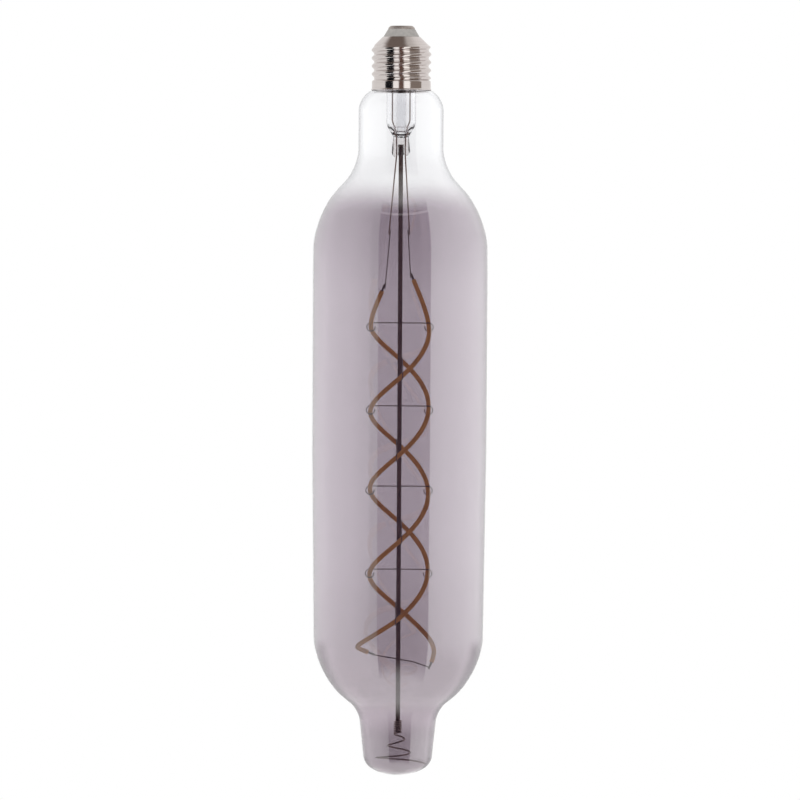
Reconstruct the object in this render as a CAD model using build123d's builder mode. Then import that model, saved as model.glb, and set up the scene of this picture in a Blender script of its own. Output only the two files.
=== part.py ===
from build123d import *
from math import asin, atan2, cos, degrees, radians, sin, tan
import os

# A tall smoked LED filament bulb with a 27 mm screw cap, in millimetres.
# The origin is the middle of the end contact's face. +Z points up into the lampholder,
# the bulb hangs down along -Z, and -Y is its front.

# End contact and insulator
contact_d = 12.0
contact_t = 1.5
contact_edge = 1.0
rivet_d = 4.8
rivet_length = 5.6
rivet_bore_d = 1.6
rivet_bore_depth = 3.0
insulator_top_d = 12.2
insulator_base_d = 16.6
insulator_height = 3.7
insulator_spigot_d = 14.4
insulator_flange_d = 15.6
insulator_flange_t = 1.0
cap_fit = 0.05

# Screw shell, rolled from sheet
shell_sheet = 0.3
dome_height = 3.6
dome_bend = 1.5
thread_d = 26.2
thread_root_d = 24.0
thread_pitch = 3.629
thread_turns = 3.5
thread_crest = 0.9
thread_foot = 2.7
thread_runout = 1.4
root_length = 15.8
skirt_d = 26.0
skirt_step = 0.5
skirt_length = 3.4
rim_d = 27.0
rim_drop = 0.6

# Blown glass envelope, from the seal inside the cap down to the foot
glass_wall = 1.0
seal_height = 8.1
neck_tube_d = 22.4
throat_rise = 0.55
throat_bend = 1.75
crown_drop = 3.75
crown_bend = 10.0
neck_d = 38.5
neck_length = 31.6
neck_bend = 21.7
shoulder_d = 78.7
shoulder_drop = 21.6
shoulder_bend = 39.3
belly_d = 80.0
belly_drop = 67.9
belly_blend = 39.4
base_d = 76.4
base_height = 139.6
base_bend = 35.9
foot_d = 35.6
foot_drop = 16.6
foot_bend = 11.4
foot_side = 20.2
foot_taper = 6.6
foot_corner = 7.7
foot_dome = 22.4

# Pressed glass stem and exhaust tube
stem_d = 13.3
stem_wall = 1.0
stem_length = 23.2
stem_flare_reach = 2.6
stem_flare_drop = 3.2
taper_length = 5.6
waist_d = 6.8
stem_floor_rise = 2.4
pinch_width = 8.6
pinch_t = 3.6
pinch_length = 8.2
pinch_lobes = 3
pinch_lobe_drop = 1.0
glass_fit = 0.03
exhaust_d = 4.5
exhaust_wall = 0.5
exhaust_length = 34.0
exhaust_tip = 2.6

# Rod, lead wires and feed wires
rod_d = 2.0
rod_seat_depth = 4.4
lead_d = 0.65
lead_inset = 4.0
lead_pinch_inset = 2.0
lead_bend = 1.5
lead_drop = 36.5
lead_tail = 1.2
weld_gap = 0.05
feed_d = 0.5
feed_tail = 1.2

# Two filament strands wound round the rod as a double helix
strand_d = 2.1
helix_d = 26.4
helix_pitch = 73.9
helix_drop = 78.5
support_count = 8
support_turn = 90.0
front_sag = 3.0
top_lift = 57.0
top_pitch = 119.0
points_per_turn = 8
terminal_width = 0.9
terminal_t = 0.35
terminal_length = 3.4
terminal_weld = 1.0

# Lower ends of the strands past the last support: degrees further round, extra radius, drop
strand_a_end = [(43, 1.2, 6.4), (67, 4.5, 10.4), (81, 5.2, 12.3), (92, 3.6, 13.6), (98, 0.9, 14.8)]
strand_b_end = [(42, 0.8, 8.6), (69, 2.4, 14.5), (89, 3.0, 19.0), (102, 2.7, 22.6), (106, 2.1, 24.8)]

# Support wires, link wire and tail spring
support_d = 0.44
hook_d = 3.8
hook_turn = 280.0
link_d = 0.5
link_bend = 6.0
link_knee = 6.5
link_knee_drop = 3.2
spring_d = 0.8
spring_turns = 3.0
spring_height = 13.4
spring_rest_angle = 43.0
coil_length = 5.6
coil_fit = 0.05

# Flats round the section of a wire
wire_sides = 6
thin_wire_sides = 4

# Driver in the cap
cement_length = 1.8
board_d = 21.4
board_t = 1.0
board_hole_d = 5.2
component_ring_d = 14.0
rectifier_size = (4.6, 3.9, 1.6)
chip_size = (4.9, 3.9, 1.5)
capacitor_d = 5.0
capacitor_height = 7.0
resistor_d = 2.4
resistor_height = 6.0
component_edge = 0.3
hookup_d = 0.7
hookup_bend = 1.0
hookup_stand = 2.0
lead_stand = 0.8

# Heights of the cap, from the contact down to the rim
shell_top = -contact_t - insulator_height
dome_foot = shell_top - dome_height
root_end = dome_foot - root_length
skirt_top = root_end - skirt_step
skirt_end = skirt_top - skirt_length
rim_z = skirt_end - rim_drop

# Heights of the glass
seal_z = rim_z + seal_height
throat_z = rim_z + throat_rise
neck_top = throat_z - crown_drop
neck_end = neck_top - neck_length
shoulder_z = neck_end - shoulder_drop
belly_z = shoulder_z - belly_drop
base_z = belly_z - base_height
foot_z = base_z - foot_drop

# The foot's side runs in by its taper to a rounded corner, which meets a shallow dome on the axis
taper = radians(foot_taper)
side_end = Vector(foot_d / 2 - foot_side * sin(taper), foot_z - foot_side * cos(taper))
corner_centre = side_end + Vector(-cos(taper), sin(taper)) * foot_corner
dome_angle = degrees(asin(corner_centre.X / (foot_dome - foot_corner)))
corner_angle = 90 - foot_taper - dome_angle

# The belly is rounded over a set length of the sides above and below it
rise_angle = atan2((belly_d - shoulder_d) / 2, belly_drop)
fall_angle = atan2((base_d - belly_d) / 2, base_height)
belly_bend = belly_blend / tan(abs(rise_angle - fall_angle) / 2)

# Heights of the mount that hangs in the glass
tube_end = seal_z - stem_length
waist_z = tube_end - taper_length
stem_floor = waist_z + stem_floor_rise
pinch_end = waist_z - pinch_length
first_support = pinch_end - helix_drop
helix_r = helix_d / 2

# The spring's last turn lies on the rounded corner inside the foot
rest_reach = foot_corner - glass_wall - spring_d / 2 - coil_fit
rest_r = corner_centre.X + rest_reach * sin(radians(spring_rest_angle))
rest_z = corner_centre.Y - rest_reach * cos(radians(spring_rest_angle))
coil_end = rest_z + spring_height

# Heights of the driver
board_bottom = seal_z + stem_wall
board_top = board_bottom + board_t

os.makedirs("parts", exist_ok=True)


def write(piece, name):
    piece.part.label = name
    export_step(piece.part, f"parts/{name}.step")


def round_wire(path, wire_d, sides=wire_sides):
    """A wire of a few flats along a path of lines and arcs."""
    with BuildPart() as wire:
        with BuildSketch(Plane(origin=path @ 0, z_dir=path % 0)):
            RegularPolygon(wire_d / 2, sides)
        sweep(path=path)
    return wire


def beside(point, along, across, distance):
    """The point at a distance from a piece that runs along, square to a wire that runs across it."""
    return point + along.cross(across).normalized() * distance


# Blown envelope: one outline from the seal to the bottom, given an even wall and turned
with BuildPart() as glass_envelope:
    with BuildSketch(Plane.XZ):
        with BuildLine():
            FilletPolyline(
                (neck_tube_d / 2, seal_z),
                (neck_tube_d / 2, throat_z),
                (neck_d / 2, neck_top),
                (neck_d / 2, neck_end),
                (shoulder_d / 2, shoulder_z),
                (belly_d / 2, belly_z),
                (base_d / 2, base_z),
                (foot_d / 2, foot_z),
                side_end,
                radius=[throat_bend, crown_bend, neck_bend, shoulder_bend, belly_bend, base_bend, foot_bend],
            )
            corner = JernArc(side_end, (-sin(taper), -cos(taper)), foot_corner, -corner_angle)
            JernArc(corner @ 1, corner % 1, foot_dome, -dome_angle)
            offset(amount=glass_wall, side=Side.RIGHT)
        make_face()
    revolve(axis=Axis.Z)
write(glass_envelope, "glass_envelope")

# Thread: a ridge with sloping sides that climbs the shell's straight wall
with BuildPart() as thread_ridge:
    with BuildLine():
        thread_line = Helix(
            thread_pitch,
            thread_turns * thread_pitch,
            thread_root_d / 2,
            center=(0, 0, root_end + thread_runout),
        )
    with BuildSketch(Plane(origin=thread_line @ 0, x_dir=(1, 0, 0), z_dir=thread_line % 0)):
        with BuildLine():
            Polyline(
                (-shell_sheet / 2, -thread_foot / 2),
                ((thread_d - thread_root_d) / 2, -thread_crest / 2),
                ((thread_d - thread_root_d) / 2, thread_crest / 2),
                (-shell_sheet / 2, thread_foot / 2),
                close=True,
            )
        make_face()
    sweep(is_frenet=True)

# Screw shell: an even sheet turned to the cap's section, with the thread on it
with BuildPart() as screw_shell:
    with BuildSketch(Plane.XZ):
        with BuildLine():
            FilletPolyline(
                (insulator_spigot_d / 2 + cap_fit, shell_top),
                (insulator_base_d / 2, shell_top),
                (thread_root_d / 2, dome_foot),
                (thread_root_d / 2, root_end),
                (skirt_d / 2, skirt_top),
                (skirt_d / 2, skirt_end),
                (rim_d / 2, rim_z),
                radius=[0, dome_bend, 0, 0, 0],
            )
            offset(amount=shell_sheet, side=Side.RIGHT, kind=Kind.INTERSECTION)
        make_face()
    revolve(axis=Axis.Z)
    add(thread_ridge.part)
write(screw_shell, "screw_shell")

# Insulator: a cone that sits on the shell, with a spigot and a flange under the sheet
flange_top = shell_top - shell_sheet - cap_fit
with BuildPart() as insulator:
    with BuildSketch(Plane.XZ):
        with BuildLine():
            Polyline(
                (rivet_d / 2 + cap_fit, -contact_t),
                (insulator_top_d / 2, -contact_t),
                (insulator_base_d / 2, shell_top),
                (insulator_spigot_d / 2, shell_top),
                (insulator_spigot_d / 2, flange_top),
                (insulator_flange_d / 2, flange_top),
                (insulator_flange_d / 2, flange_top - insulator_flange_t),
                (rivet_d / 2 + cap_fit, flange_top - insulator_flange_t),
                close=True,
            )
        make_face()
    revolve(axis=Axis.Z)
write(insulator, "insulator")

# End contact: a disc with a hollow rivet through the insulator
rivet_end = -contact_t - rivet_length
with BuildPart() as end_contact:
    with BuildSketch(Plane.XY.offset(-contact_t)):
        Circle(contact_d / 2)
    extrude(amount=contact_t)
    chamfer(end_contact.faces().sort_by(Axis.Z)[-1].edges(), contact_edge)
    with BuildSketch(Plane.XY.offset(rivet_end)):
        Circle(rivet_d / 2)
    extrude(amount=rivet_length)
    with BuildSketch(Plane.XY.offset(rivet_end)):
        Circle(rivet_bore_d / 2)
    extrude(amount=rivet_bore_depth, mode=Mode.SUBTRACT)
write(end_contact, "end_contact")

# Basing cement between the neck tube and the skirt
throat_turn = atan2(neck_d / 2 - neck_tube_d / 2, crown_drop)
cement_end = throat_z + throat_bend * tan(throat_turn / 2) + cap_fit
with BuildPart() as basing_cement:
    with BuildSketch(Plane.XY.offset(cement_end)):
        Circle(skirt_d / 2 - shell_sheet - cap_fit)
        Circle(neck_tube_d / 2 + cap_fit, mode=Mode.SUBTRACT)
    extrude(amount=cement_length)
write(basing_cement, "basing_cement")

# Filament strands: where each one starts, in degrees round the rod, and the lifts of its points.
# The support bars pass beside the rod, so their ends are a little less than half a turn apart.
bar_offset = rod_d / 2 + support_d / 2 + weld_gap
bar_swing = degrees(asin(bar_offset / helix_r))
strand_start = {"a": 180.0 - bar_swing, "b": 360.0 + bar_swing}
last_lift = -(support_count - 1) * support_turn
lift_step = 360.0 / points_per_turn
lifts = [top_lift, top_lift / 2]
while lifts[-1] > last_lift:
    lifts.append(0.0 if lifts[-1] > 0 else lifts[-1] - lift_step)


def strand_point(start, lift):
    """A point on a strand, lift degrees round from the first support, positive upwards."""
    angle = radians(start + lift)
    steepening = (top_pitch - helix_pitch) * max(lift, 0) / top_lift
    climb = (helix_pitch + steepening) * lift / 360
    height = first_support + climb + front_sag * sin(angle)
    return Vector(helix_r * cos(angle), helix_r * sin(angle), height)


def strand_end_point(start, past, spread, drop):
    """A point on a strand's free lower end, past the last support."""
    last = strand_point(start, last_lift)
    angle = radians(start + last_lift - past)
    return Vector((helix_r + spread) * cos(angle), (helix_r + spread) * sin(angle), last.Z - drop)


def strand_path(start, free_end):
    """The line of one strand, from its top end down to its free lower end."""
    with BuildLine() as path:
        Spline(
            *[strand_point(start, lift) for lift in lifts],
            *[strand_end_point(start, *place) for place in free_end],
        )
    return path.edge()


strand_paths = {
    "a": strand_path(strand_start["a"], strand_a_end),
    "b": strand_path(strand_start["b"], strand_b_end),
}

# A soft round cord along each path, drawn with a few flats
for strand, path in strand_paths.items():
    with BuildPart() as filament:
        with BuildSketch(Plane(origin=path @ 0, z_dir=path % 0)):
            RegularPolygon(strand_d / 2, wire_sides)
        sweep(path=path)
    write(filament, f"filament_{strand}")

# Terminals: flat metal ends that carry on from each end of the strands
terminal_welds = {}
for strand, path in strand_paths.items():
    for place, at, heading in (("top", 0, path % 0 * -1), ("bottom", 1, path % 1)):
        with BuildPart() as terminal:
            with BuildSketch(Plane(origin=path @ at, z_dir=heading)):
                Rectangle(terminal_width, terminal_t)
            extrude(amount=terminal_length)
        write(terminal, f"filament_{strand}_{place}_terminal")
        weld = path @ at + heading * (terminal_length - terminal_weld)
        terminal_welds[strand, place] = (weld, heading)

# Lead wires: from the board through the stem and the pinch, then out to the welds
weld_z = pinch_end - lead_drop
lead_paths = {}
for side, strand, sign in (("left", "a", -1), ("right", "b", 1)):
    pinch_point = Vector(sign * lead_pinch_inset, 0, pinch_end - pinch_lobe_drop)
    aim, aim_heading = terminal_welds[strand, "top"]
    share = (pinch_point.Z - weld_z) / (pinch_point.Z - aim.Z)
    weld = pinch_point + (aim - pinch_point) * share
    with BuildLine() as lead_line:
        FilletPolyline(
            (sign * lead_inset, 0, board_top + lead_stand),
            (sign * lead_inset, 0, tube_end + lead_bend),
            (sign * lead_pinch_inset, 0, waist_z),
            pinch_point,
            weld,
            radius=lead_bend,
        )
    lead_paths[side] = lead_line.wire()
    lead_wire = round_wire(lead_paths[side], lead_d)
    write(lead_wire, f"lead_wire_{side}")

    # The feed wire lies beside the lead's end and beside the strand's terminal
    lead_heading = (weld - pinch_point).normalized()
    lead_weld = weld - lead_heading * lead_tail
    across = (aim - lead_weld).normalized()
    feed_start = beside(lead_weld, lead_heading, Vector(0, 0, -1), lead_d / 2 + feed_d / 2 + weld_gap)
    feed_stop = beside(aim, aim_heading, across, terminal_width / 2 + feed_d / 2 + weld_gap)
    feed_heading = (feed_stop - feed_start).normalized()
    with BuildLine() as feed_line:
        Line(feed_start - feed_heading * feed_tail, feed_stop + feed_heading * feed_tail)
    feed_wire = round_wire(feed_line.edge(), feed_d)
    write(feed_wire, f"feed_wire_{side}")

# Pressed stem: a flared tube drawn in to a waist, then pinched flat round the wires and the rod
taper_share = (stem_floor - waist_z) / taper_length
floor_r = waist_d / 2 + (stem_d - waist_d) / 2 * taper_share - stem_wall / 2
lobe_w = pinch_width / pinch_lobes
with BuildPart() as stem_flare:
    with BuildSketch(Plane.XZ):
        with BuildLine():
            Polyline(
                (neck_tube_d / 2, seal_z),
                (stem_d / 2 + stem_flare_reach, seal_z),
                (stem_d / 2, seal_z - stem_flare_drop),
                (stem_d / 2, tube_end),
                (waist_d / 2, waist_z),
            )
            offset(amount=stem_wall, side=Side.RIGHT, kind=Kind.INTERSECTION)
        make_face()
        with BuildLine():
            Polyline(
                (0, stem_floor),
                (floor_r, stem_floor),
                (waist_d / 2 - stem_wall / 2, waist_z),
                (0, waist_z),
                close=True,
            )
        make_face()
    revolve(axis=Axis.Z)
    with BuildSketch(Plane.XZ):
        with BuildLine():
            Polyline(
                (-pinch_width / 2, pinch_end),
                (-waist_d / 2, waist_z),
                (-waist_d / 4, stem_floor),
                (waist_d / 4, stem_floor),
                (waist_d / 2, waist_z),
                (pinch_width / 2, pinch_end),
            )
            for lobe in range(pinch_lobes):
                lobe_start = pinch_width / 2 - lobe * lobe_w
                ThreePointArc(
                    (lobe_start, pinch_end),
                    (lobe_start - lobe_w / 2, pinch_end - pinch_lobe_drop),
                    (lobe_start - lobe_w, pinch_end),
                )
        make_face()
    extrude(amount=pinch_t / 2, both=True)
    for path in lead_paths.values():
        with BuildSketch(Plane(origin=path @ 0, z_dir=path % 0)):
            Circle(lead_d / 2 + glass_fit)
        sweep(path=path, mode=Mode.SUBTRACT)
    with BuildSketch(Plane.XY.offset(pinch_end + rod_seat_depth)):
        Circle(rod_d / 2 + glass_fit)
    extrude(amount=-rod_seat_depth - pinch_lobe_drop, mode=Mode.SUBTRACT)
write(stem_flare, "stem_flare")

# Exhaust tube: stands on the stem's floor and is melted shut at its tip
exhaust_top = stem_floor + exhaust_length
with BuildPart() as exhaust_tube:
    with BuildSketch(Plane.XZ):
        with BuildLine():
            Polyline(
                (exhaust_d / 2 - exhaust_wall, stem_floor),
                (exhaust_d / 2, stem_floor),
                (exhaust_d / 2, exhaust_top - exhaust_tip),
                (0, exhaust_top),
                (0, exhaust_top - exhaust_wall * 2),
                (exhaust_d / 2 - exhaust_wall, exhaust_top - exhaust_tip - exhaust_wall),
                close=True,
            )
        make_face()
    revolve(axis=Axis.Z)
write(exhaust_tube, "exhaust_tube")

# Centre rod: from its seat in the pinch down into the spring's close coil
with BuildPart() as centre_rod:
    with BuildSketch(Plane.XY.offset(coil_end)):
        Circle(rod_d / 2)
    extrude(amount=pinch_end + rod_seat_depth - coil_end)
write(centre_rod, "centre_rod")

# Support wires: a bar laid against the rod, with a hook round a strand at each end
hook_r = hook_d / 2
reach = helix_r * cos(radians(bar_swing))
for step in range(support_count):
    lift = -support_turn * step
    angle = radians(strand_start["a"] + bar_swing + lift)
    along = Vector(cos(angle), sin(angle), 0)
    sideways = Vector(sin(angle), -cos(angle), 0)
    height_a = strand_point(strand_start["a"], lift).Z
    height_b = strand_point(strand_start["b"], lift).Z
    tilt = atan2(height_a - height_b, 2 * reach)
    top_a = (reach - hook_r * sin(tilt), height_a + hook_r * cos(tilt))
    top_b = (-reach - hook_r * sin(tilt), height_b + hook_r * cos(tilt))
    hook_start = 90 + degrees(tilt)
    with BuildLine(Plane(sideways * bar_offset, x_dir=along, z_dir=sideways)) as support_line:
        CenterArc((reach, height_a), hook_r, hook_start, -hook_turn)
        Line(top_a, top_b)
        CenterArc((-reach, height_b), hook_r, hook_start, hook_turn)
    support_wire = round_wire(support_line.wire(), support_d, thin_wire_sides)
    write(support_wire, f"support_wire_{step + 1}")

# Link wire: runs nearly level from the first lower terminal, behind the rod, then drops to the second
link_a, link_a_heading = terminal_welds["a", "bottom"]
link_b, link_b_heading = terminal_welds["b", "bottom"]
link_reach = terminal_width / 2 + link_d / 2 + weld_gap
link_bow = Vector(link_knee, rod_d / 2 + link_d / 2 + weld_gap, link_a.Z - link_knee_drop)
link_start = beside(link_a, link_a_heading, link_bow - link_a, link_reach)
link_stop = beside(link_b, link_b_heading, link_bow - link_b, link_reach)
with BuildLine() as link_line:
    FilletPolyline(link_start, link_bow, link_stop, radius=link_bend)
link_wire = round_wire(link_line.wire(), link_d)
write(link_wire, "link_wire")

# Tail spring: a close coil that grips the rod, opening into a cone that stands in the foot
coil_r = rod_d / 2 + coil_fit + spring_d / 2
with BuildPart() as tail_spring:
    with BuildSketch(Plane.XY.offset(coil_end)):
        Circle(coil_r + spring_d / 2)
        Circle(coil_r - spring_d / 2, mode=Mode.SUBTRACT)
    extrude(amount=coil_length)
    with BuildLine():
        cone_line = Helix(
            spring_height / spring_turns,
            spring_height,
            coil_r,
            center=(0, 0, coil_end),
            direction=(0, 0, -1),
            cone_angle=degrees(atan2(rest_r - coil_r, spring_height)),
        )
    with BuildSketch(Plane(origin=cone_line @ 0, z_dir=cone_line % 0)):
        RegularPolygon(spring_d / 2, thin_wire_sides)
    sweep(is_frenet=True)
write(tail_spring, "tail_spring")

# Driver board: a ring on the stem's flare, with holes for the leads
with BuildPart() as driver_board:
    with BuildSketch(Plane.XY.offset(board_bottom)):
        Circle(board_d / 2)
        Circle(board_hole_d / 2, mode=Mode.SUBTRACT)
        with Locations((-lead_inset, 0), (lead_inset, 0)):
            Circle(lead_d / 2 + cap_fit, mode=Mode.SUBTRACT)
    extrude(amount=board_t)
write(driver_board, "driver_board")

component_r = component_ring_d / 2
for name, size, side in (("rectifier", rectifier_size, -1), ("driver_chip", chip_size, 1)):
    with BuildPart() as component:
        with BuildSketch(Plane.XY.offset(board_top)):
            with Locations((0, side * component_r)):
                Rectangle(size[0], size[1])
        extrude(amount=size[2])
        chamfer(component.faces().sort_by(Axis.Z)[-1].edges(), component_edge)
    write(component, name)

with BuildPart() as capacitor:
    with BuildSketch(Plane.XY.offset(board_top)):
        with Locations((component_r, 0)):
            Circle(capacitor_d / 2)
    extrude(amount=capacitor_height)
    chamfer(capacitor.faces().sort_by(Axis.Z)[-1].edges(), component_edge)
write(capacitor, "capacitor")

with BuildPart() as fuse_resistor:
    with BuildSketch(Plane.XY.offset(board_top)):
        with Locations((-component_r, 0)):
            Circle(resistor_d / 2)
    extrude(amount=resistor_height)
    chamfer(fuse_resistor.faces().sort_by(Axis.Z)[-1].edges(), component_edge)
write(fuse_resistor, "fuse_resistor")

# Contact lead: from the rivet's bore across to the fuse resistor
resistor_top = board_top + resistor_height
with BuildLine() as contact_line:
    FilletPolyline(
        (0, 0, rivet_end + rivet_bore_depth - cap_fit),
        (0, 0, resistor_top + hookup_stand),
        (-component_r, 0, resistor_top + hookup_stand),
        (-component_r, 0, resistor_top),
        radius=hookup_bend,
    )
contact_lead = round_wire(contact_line.wire(), hookup_d)
write(contact_lead, "contact_lead")

# Shell lead: from the board's edge out to the shell's bore
shell_bore = thread_root_d / 2 - shell_sheet
with BuildLine() as shell_line:
    FilletPolyline(
        (0, component_r + chip_size[1] / 2 + hookup_d, board_top),
        (0, component_r + chip_size[1] / 2 + hookup_d, board_top + hookup_stand),
        (0, shell_bore - cap_fit, board_top + hookup_stand),
        radius=hookup_bend,
    )
shell_lead = round_wire(shell_line.wire(), hookup_d)
write(shell_lead, "shell_lead")
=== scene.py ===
# %% [markdown]
# # A tall smoked filament bulb
# The bulb hangs from its screw cap, so its frame starts at the middle of the end contact and runs
# down along -Z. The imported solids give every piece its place. This script keeps most of them, gives
# each a finish, and makes some anew where smooth curves matter: the blown glass, the pressed stem,
# the rolled screw shell, the insulator and its contact, the soft filament strands and the tail
# spring.

import math

import bmesh
import bpy
from mathutils import Matrix, Vector


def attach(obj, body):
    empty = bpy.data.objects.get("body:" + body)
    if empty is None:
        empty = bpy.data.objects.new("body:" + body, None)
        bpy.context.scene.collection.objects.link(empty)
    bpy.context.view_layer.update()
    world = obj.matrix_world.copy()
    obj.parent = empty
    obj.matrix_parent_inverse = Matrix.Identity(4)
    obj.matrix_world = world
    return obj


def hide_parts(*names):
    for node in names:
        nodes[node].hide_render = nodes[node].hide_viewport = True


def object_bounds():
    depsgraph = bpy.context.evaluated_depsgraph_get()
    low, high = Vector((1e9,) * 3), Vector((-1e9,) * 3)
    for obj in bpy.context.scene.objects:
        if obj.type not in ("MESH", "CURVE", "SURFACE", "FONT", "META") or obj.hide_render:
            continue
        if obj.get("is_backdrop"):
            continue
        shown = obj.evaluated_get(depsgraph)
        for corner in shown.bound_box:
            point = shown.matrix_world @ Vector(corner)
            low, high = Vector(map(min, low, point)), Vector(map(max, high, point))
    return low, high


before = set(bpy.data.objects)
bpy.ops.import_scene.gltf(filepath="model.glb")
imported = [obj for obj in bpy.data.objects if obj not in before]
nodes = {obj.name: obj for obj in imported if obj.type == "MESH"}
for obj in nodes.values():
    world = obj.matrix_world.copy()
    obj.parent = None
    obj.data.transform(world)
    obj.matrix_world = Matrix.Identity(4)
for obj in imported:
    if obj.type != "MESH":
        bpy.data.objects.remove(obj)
cad_low, cad_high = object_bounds()
MM = 0.001
print("frame", len(nodes), "nodes, height", round((cad_high - cad_low).z / MM, 1), "mm")

# %% [markdown]
# ## From a bmesh to a piece
# Every new object starts the same way: its bmesh becomes a mesh that is shaded smooth, apart from
# its sharp corners. A piece of the bulb then rides on the one rigid body, stands in for the solid that
# it replaces, and takes the finish that it is given.

# %% Helpers that finish an object
sharp_corner = math.radians(50)


def make_object(bm, name, material):
    """Turns a bmesh into an object with one finish."""
    mesh = bpy.data.meshes.new(name)
    bm.to_mesh(mesh)
    bm.free()
    mesh.shade_smooth()
    mesh.set_sharp_from_angle(angle=sharp_corner)
    mesh.materials.append(material)
    made = bpy.data.objects.new(name, mesh)
    bpy.context.scene.collection.objects.link(made)
    print("made", name, len(mesh.polygons), "faces")
    return made


def make_piece(bm, name, replaced, material):
    """Turns a bmesh into a piece of the bulb that stands for the replaced solid."""
    piece = make_object(bm, name, material)
    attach(piece, "root")
    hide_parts(replaced)
    return piece


# %% [markdown]
# ## Effects that several finishes share
# Real surfaces drift a little in colour and shine. A soft cloud of noise does that for mouldings,
# cement and coatings. Drawn wire and rolled sheet have fine lines instead, which come from noise
# that is squeezed along one direction. The smoke on the glass is a third effect, a fade that is
# nought above one height and one below another. Each is a node group, so that every material can
# place it with its own values.


# %% Helper that starts a node group
def start_group(name, inputs, outputs):
    """A new shader group with float inputs, given as name and default, and float outputs."""
    group = bpy.data.node_groups.new(name, "ShaderNodeTree")
    for label, default in inputs:
        socket = group.interface.new_socket(label, in_out="INPUT", socket_type="NodeSocketFloat")
        socket.default_value = default
    for label in outputs:
        group.interface.new_socket(label, in_out="OUTPUT", socket_type="NodeSocketFloat")
    entry = group.nodes.new("NodeGroupInput")
    leave = group.nodes.new("NodeGroupOutput")
    return group, entry, leave


# %% Cloud: slow drift with a little fine grain
cloud_detail = 5.0
cloud_range = (0.3, 0.7)


def make_cloud_group():
    """Noise that is stretched to run from nought to one."""
    group, entry, leave = start_group("Cloud", [("Scale", 200.0), ("Grain", 0.3)], ["Drift"])
    place = group.nodes.new("ShaderNodeTexCoord")
    noise = group.nodes.new("ShaderNodeTexNoise")
    noise.inputs["Detail"].default_value = cloud_detail
    link = group.links.new
    link(place.outputs["Object"], noise.inputs["Vector"])
    link(entry.outputs["Scale"], noise.inputs["Scale"])
    link(entry.outputs["Grain"], noise.inputs["Roughness"])
    spread = group.nodes.new("ShaderNodeMapRange")
    spread.inputs["From Min"].default_value = cloud_range[0]
    spread.inputs["From Max"].default_value = cloud_range[1]
    link(noise.outputs["Fac"], spread.inputs["Value"])
    link(spread.outputs["Result"], leave.inputs["Drift"])
    return group


cloud_group = make_cloud_group()
print("group", cloud_group.name)

# %% Lines: the fine marks that rolling leaves on sheet and drawing leaves on wire
lines_detail = 3.0


def make_lines_group():
    """Noise that is packed by one amount round the axis and by another along it."""
    group, entry, leave = start_group("Lines", [("Around", 60.0), ("Along", 6000.0)], ["Lines"])
    place = group.nodes.new("ShaderNodeTexCoord")
    squeeze = group.nodes.new("ShaderNodeVectorMath")
    squeeze.operation = "MULTIPLY"
    pack = group.nodes.new("ShaderNodeCombineXYZ")
    noise = group.nodes.new("ShaderNodeTexNoise")
    noise.inputs["Scale"].default_value = 1.0
    noise.inputs["Detail"].default_value = lines_detail
    link = group.links.new
    link(entry.outputs["Around"], pack.inputs["X"])
    link(entry.outputs["Around"], pack.inputs["Y"])
    link(entry.outputs["Along"], pack.inputs["Z"])
    link(place.outputs["Object"], squeeze.inputs[0])
    link(pack.outputs["Vector"], squeeze.inputs[1])
    link(squeeze.outputs["Vector"], noise.inputs["Vector"])
    link(noise.outputs["Fac"], leave.inputs["Lines"])
    return group


lines_group = make_lines_group()
print("group", lines_group.name)


# %% Fade: nought above one height and one below another
def make_fade_group():
    """A mask that depends on the height alone."""
    heights = [("Clear above", 0.0), ("Full below", -1.0)]
    group, entry, leave = start_group("Fade", heights, ["Mask"])
    place = group.nodes.new("ShaderNodeTexCoord")
    split = group.nodes.new("ShaderNodeSeparateXYZ")
    fade = group.nodes.new("ShaderNodeMapRange")
    fade.interpolation_type = "SMOOTHSTEP"
    link = group.links.new
    link(place.outputs["Object"], split.inputs["Vector"])
    link(split.outputs["Z"], fade.inputs["Value"])
    link(entry.outputs["Clear above"], fade.inputs["From Min"])
    link(entry.outputs["Full below"], fade.inputs["From Max"])
    link(fade.outputs["Result"], leave.inputs["Mask"])
    return group


fade_group = make_fade_group()
print("group", fade_group.name)

# %% [markdown]
# ## Wiring a material
# All the finishes start from the Principled shader, and differ in what drives its sockets. A few
# small helpers do that wiring: one places a group, two blend a colour or a number by a mask, and one
# turns a mask into a fine relief. A number that is the same all over is set on its socket.


# %% Helpers that wire a material
def start_material(name):
    """A material with a Principled shader, and its node tree."""
    material = bpy.data.materials.new(name)
    material.use_nodes = True
    tree = material.node_tree
    print("finish", name)
    return material, tree, tree.nodes["Principled BSDF"]


def place_group(tree, group, **values):
    """A group node in a material, with its own values."""
    node = tree.nodes.new("ShaderNodeGroup")
    node.node_tree = group
    for label, value in values.items():
        node.inputs[label.replace("_", " ")].default_value = value
    return node


def blend_colours(tree, factor, first, second, target):
    """Drives a colour socket between two colours, and hands on the socket of the first."""
    mix = tree.nodes.new("ShaderNodeMix")
    mix.data_type = "RGBA"
    mix.inputs["A"].default_value = (*first, 1)
    mix.inputs["B"].default_value = (*second, 1)
    tree.links.new(factor, mix.inputs["Factor"])
    tree.links.new(mix.outputs["Result"], target)
    return mix.inputs["A"]


def blend_values(tree, factor, low, high, target):
    """Drives a number socket between two values."""
    spread = tree.nodes.new("ShaderNodeMapRange")
    spread.inputs["To Min"].default_value = low
    spread.inputs["To Max"].default_value = high
    tree.links.new(factor, spread.inputs["Value"])
    tree.links.new(spread.outputs["Result"], target)


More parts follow.
